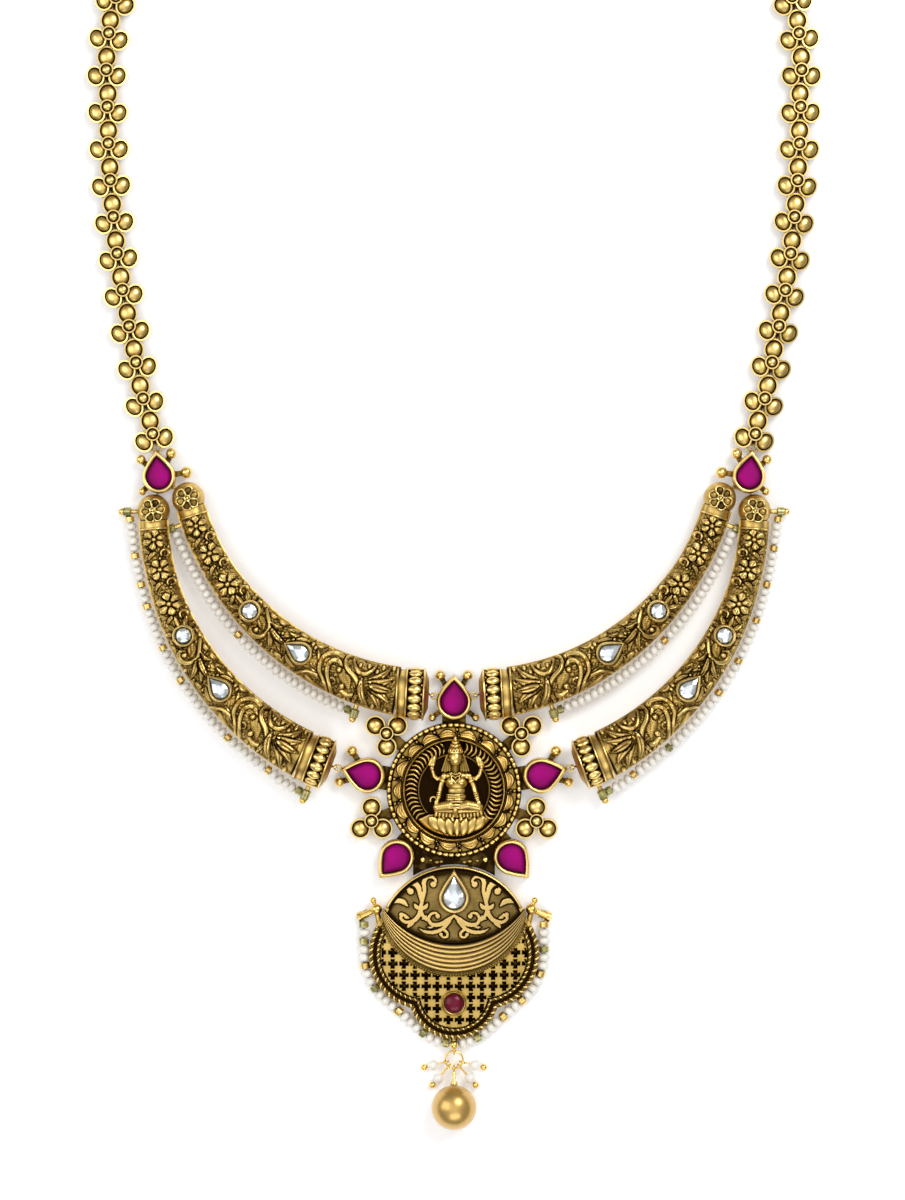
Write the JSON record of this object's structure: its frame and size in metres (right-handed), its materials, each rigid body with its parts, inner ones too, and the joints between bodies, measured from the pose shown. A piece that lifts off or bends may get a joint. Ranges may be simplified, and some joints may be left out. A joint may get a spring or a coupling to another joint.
{
  "type": "temple jewellery necklace",
  "caption": "Traditional gold temple necklace laid flat: rosette chains, four domed pearl-edged bars, a round medallion with a goddess figure, a pierced lower pendant and a pearl drop.",
  "frame": {"origin": "centre of the medallion's flat back, on the surface that the necklace lies on", "axes": "+Z out of the face of the medallion, +Y up towards the back of the neck, +X to the right as seen from the front"},
  "size_m": [0.1546, 0.2971, 0.0112],
  "materials": {
    "chain_gold": "antique gold plate, worn bright",
    "antique_gold": "antique gold plate, darkened in the recesses",
    "bright_gold": "antique gold plate, worn bright",
    "dark_gold": "darkened antique gold plate",
    "magenta_stone": "foil-backed faceted paste",
    "dark_ruby": "dark cabochon",
    "white_stone": "foil-backed clear faceted paste",
    "seed_pearl": "pearl lustre",
    "golden_pearl": "golden pearl lustre"
  },
  "bodies": {
    "root": {"chain_lower_right": "chain_gold", "chain_lower_left": "chain_gold", "chain_upper_right": "chain_gold", "chain_upper_left": "chain_gold", "clasp": "chain_gold", "shoulder_right": "antique_gold", "shoulder_left": "antique_gold", "shoulder_stone_right": "magenta_stone", "shoulder_stone_left": "magenta_stone", "bar_inner_right": "antique_gold", "bar_inner_left": "antique_gold", "bar_outer_right": "antique_gold", "bar_outer_left": "antique_gold", "round_stone_inner_right": "white_stone", "round_stone_inner_left": "white_stone", "round_stone_outer_right": "white_stone", "round_stone_outer_left": "white_stone", "drop_stone_inner_right": "white_stone", "drop_stone_inner_left": "white_stone", "drop_stone_outer_right": "white_stone", "drop_stone_outer_left": "white_stone", "pearl_string_inner_right": "seed_pearl", "pearl_string_inner_left": "seed_pearl", "pearl_string_outer_right": "seed_pearl", "pearl_string_outer_left": "seed_pearl", "medallion": "antique_gold", "goddess_figure": "bright_gold", "ruby_top": "magenta_stone", "ruby_side_right": "magenta_stone", "ruby_side_left": "magenta_stone", "ruby_low_right": "magenta_stone", "ruby_low_left": "magenta_stone", "pendant_frame": "antique_gold", "scroll_dome": "antique_gold", "crescent_band": "antique_gold", "pendant_stone": "white_stone", "jali_screen": "dark_gold", "cabochon_ruby": "dark_ruby", "pearl_fringe": "seed_pearl", "drop_ring": "chain_gold", "drop_pin": "chain_gold", "small_pin_upper_right": "chain_gold", "small_pin_upper_left": "chain_gold", "small_pin_lower_right": "chain_gold", "small_pin_lower_left": "chain_gold", "drop_pearl": "golden_pearl", "small_pearl_upper_right": "seed_pearl", "small_pearl_upper_left": "seed_pearl", "small_pearl_lower_right": "seed_pearl", "small_pearl_lower_left": "seed_pearl"}
  },
  "joints": []
}
